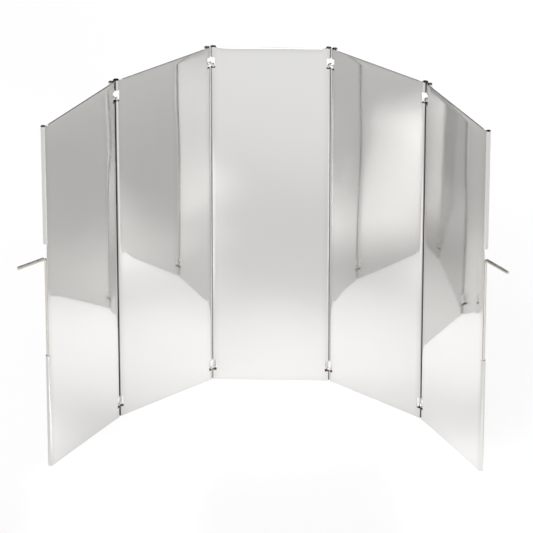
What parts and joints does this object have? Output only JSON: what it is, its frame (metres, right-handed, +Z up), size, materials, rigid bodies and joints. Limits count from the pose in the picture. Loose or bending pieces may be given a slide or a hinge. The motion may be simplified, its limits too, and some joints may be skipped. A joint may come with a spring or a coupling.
{
  "type": "stove windscreen",
  "caption": "Folding stove windscreen: mirror-polished sheet panels hinged in an arc by wire staples, with a sliding wire ground stake down each outer edge.",
  "frame": {"origin": "middle of the centre panel's foot, half way through the hem that rests on the ground", "axes": "+X along the centre panel to the right as seen from the sheltered side, +Y away from the sheltered side, +Z up"},
  "size_m": [0.3165, 0.138, 0.25],
  "materials": {
    "polished_sheet": "polished",
    "drawn_wire": "polished"
  },
  "bodies": {
    "centre": {"centre_panel": "polished_sheet"},
    "left_inner": {"left_inner_panel": "polished_sheet"},
    "left_outer": {"left_outer_panel": "polished_sheet"},
    "right_inner": {"right_inner_panel": "polished_sheet"},
    "right_outer": {"right_outer_panel": "polished_sheet"},
    "left_inner_link": {"left_inner_top_staple": "drawn_wire", "left_inner_bottom_staple": "drawn_wire"},
    "left_outer_link": {"left_outer_top_staple": "drawn_wire", "left_outer_bottom_staple": "drawn_wire"},
    "right_inner_link": {"right_inner_top_staple": "drawn_wire", "right_inner_bottom_staple": "drawn_wire"},
    "right_outer_link": {"right_outer_top_staple": "drawn_wire", "right_outer_bottom_staple": "drawn_wire"},
    "left_stake": {"left_stake": "drawn_wire"},
    "right_stake": {"right_stake": "drawn_wire"}
  },
  "joints": [
    {"name": "right_inner_link_turn", "type": "hinge", "parent": "centre", "child": "right_inner_link", "pos_m": [0.03785, 0.00155, 0.125], "axis": [0, 0, -1], "range_deg": [-19.25, 67.85]},
    {"name": "right_wing_fold", "type": "hinge", "parent": "right_inner_link", "child": "right_inner", "pos_m": [0.04191, 0.00014, 0.125], "axis": [0, 0, -1], "range_deg": [-19.2, 67.8]},
    {"name": "right_outer_link_turn", "type": "hinge", "parent": "right_inner", "child": "right_outer_link", "pos_m": [0.10124, -0.04689, 0.125], "axis": [0, 0, -1], "range_deg": [-98.05, 27.8]},
    {"name": "right_outer_turn", "type": "hinge", "parent": "right_outer_link", "child": "right_outer", "pos_m": [0.10403, -0.05015, 0.125], "axis": [0, 0, -1], "range_deg": [-98.05, 27.8]},
    {"name": "left_inner_link_turn", "type": "hinge", "parent": "centre", "child": "left_inner_link", "pos_m": [-0.03785, 0.00155, 0.125], "axis": [0, 0, -1], "range_deg": [-10.05, 107.55]},
    {"name": "left_wing_fold", "type": "hinge", "parent": "left_inner_link", "child": "left_inner", "pos_m": [-0.04188, 0.00004, 0.125], "axis": [0, 0, -1], "range_deg": [-10, 107.5]},
    {"name": "left_outer_link_turn", "type": "hinge", "parent": "left_inner", "child": "left_outer_link", "pos_m": [-0.09901, -0.04962, 0.125], "axis": [0, 0, -1], "range_deg": [-78.55, 7.35]},
    {"name": "left_outer_turn", "type": "hinge", "parent": "left_outer_link", "child": "left_outer", "pos_m": [-0.1018, -0.05289, 0.125], "axis": [0, 0, -1], "range_deg": [-78.55, 7.35]},
    {"name": "left_stake_slide", "type": "slide", "parent": "left_outer", "child": "left_stake", "axis": [0, 0, 1], "range_m": [-0.0685, 0.008]},
    {"name": "right_stake_slide", "type": "slide", "parent": "right_outer", "child": "right_stake", "axis": [0, 0, 1], "range_m": [-0.071, 0.0055]}
  ],
  "couplings": [
    {"joint": "right_inner_link_turn", "follows": "right_wing_fold", "ratio": 1},
    {"joint": "right_outer_link_turn", "follows": "right_wing_fold", "ratio": -1.4454},
    {"joint": "right_outer_turn", "follows": "right_wing_fold", "ratio": -1.4454},
    {"joint": "left_inner_link_turn", "follows": "left_wing_fold", "ratio": 1},
    {"joint": "left_outer_link_turn", "follows": "left_wing_fold", "ratio": -0.73023},
    {"joint": "left_outer_turn", "follows": "left_wing_fold", "ratio": -0.73023}
  ]
}
